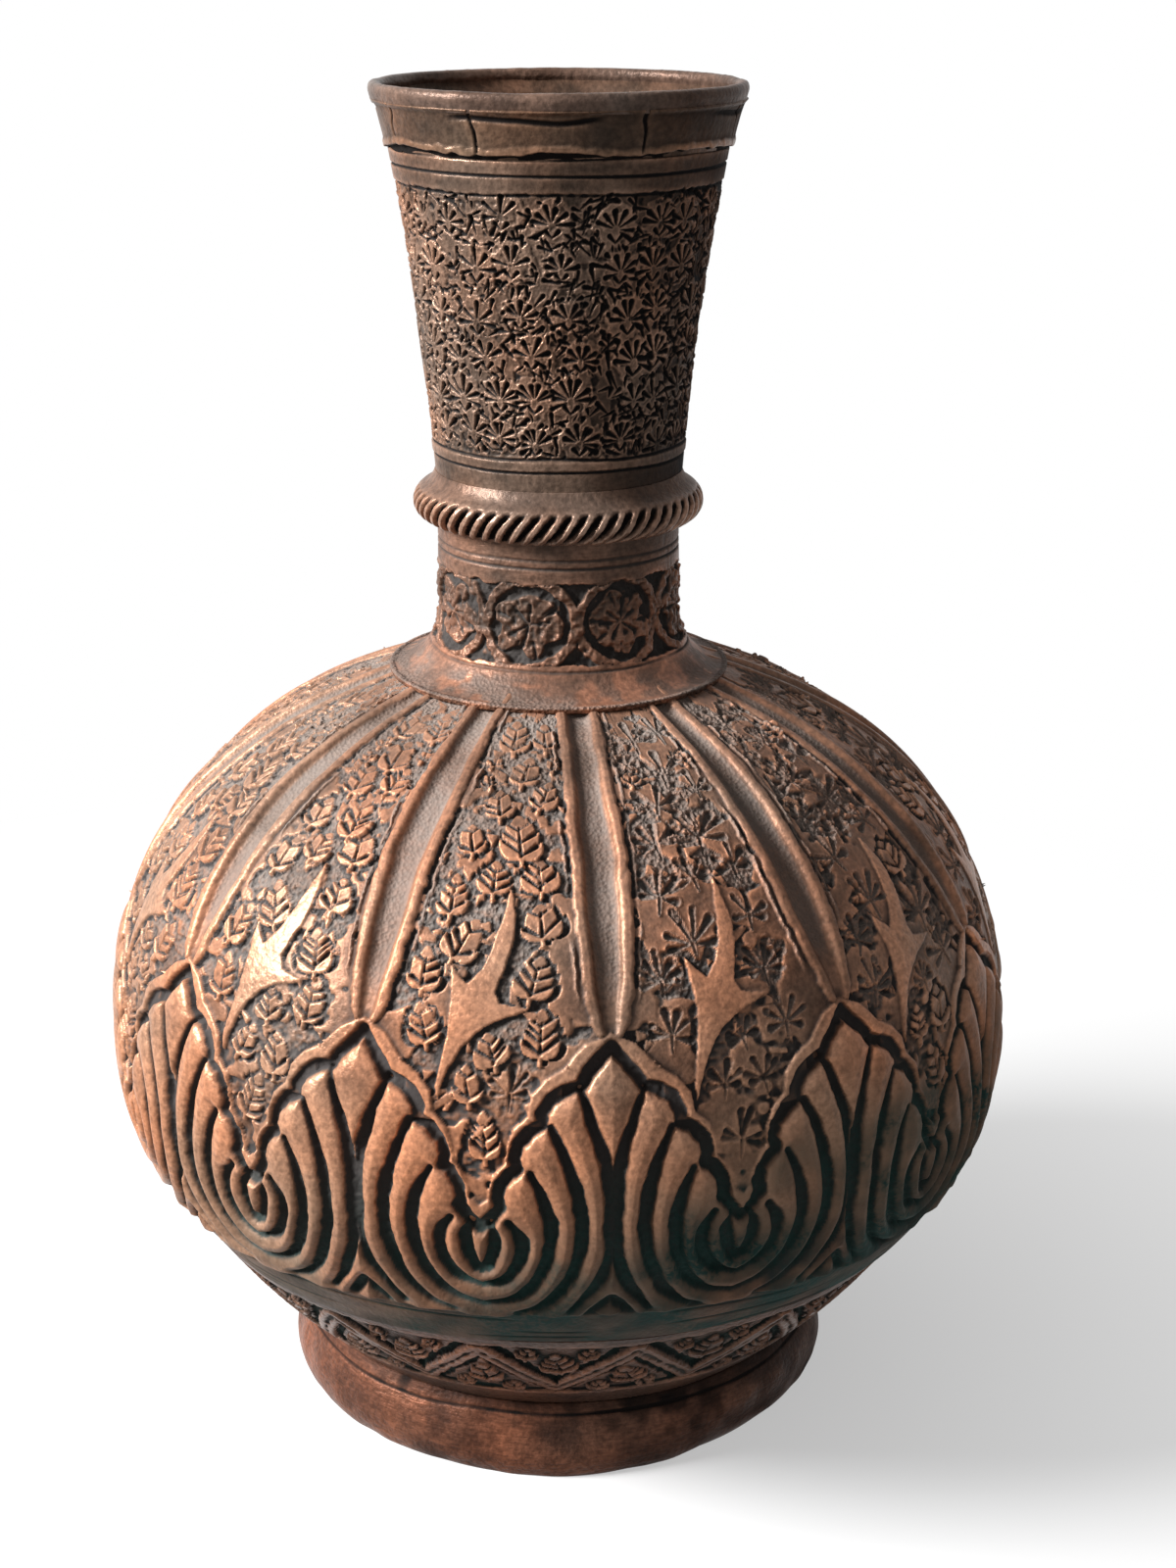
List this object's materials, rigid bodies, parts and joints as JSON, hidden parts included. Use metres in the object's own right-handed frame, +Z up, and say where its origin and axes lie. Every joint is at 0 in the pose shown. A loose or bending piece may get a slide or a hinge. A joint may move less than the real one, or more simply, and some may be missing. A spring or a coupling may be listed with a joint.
{
  "type": "copper bottle vase",
  "caption": "Round-bellied copper bottle vase on a collar foot, with a fluted shoulder, a girdle of palmettes, a twisted rope collar and a flaring neck.",
  "frame": {"origin": "centre of the foot, on the surface that the vase stands on", "axes": "+Z up along the axis of the vase, -Y towards the pictured front, +X to its right"},
  "size_m": [0.1914, 0.1914, 0.28],
  "materials": {
    "lower_copper": "red-brown patinated copper, worn on the foot, dark in the zigzag ornament",
    "body_copper": "patinated copper, rubbed bright on the raised work, dark and green in the hollows",
    "neck_copper": "brown patinated copper with punched and chased ornament, dark in the cuts",
    "trim_copper": "brown copper rubbed bright on its edges"
  },
  "bodies": {
    "root": {"foot_ring": "lower_copper", "base_disc": "lower_copper", "base_cup": "lower_copper", "body_shell": "body_copper", "lower_neck": "neck_copper", "rope_collar": "trim_copper", "upper_neck": "neck_copper", "rim_band": "trim_copper", "lip_wire": "trim_copper"}
  },
  "joints": []
}
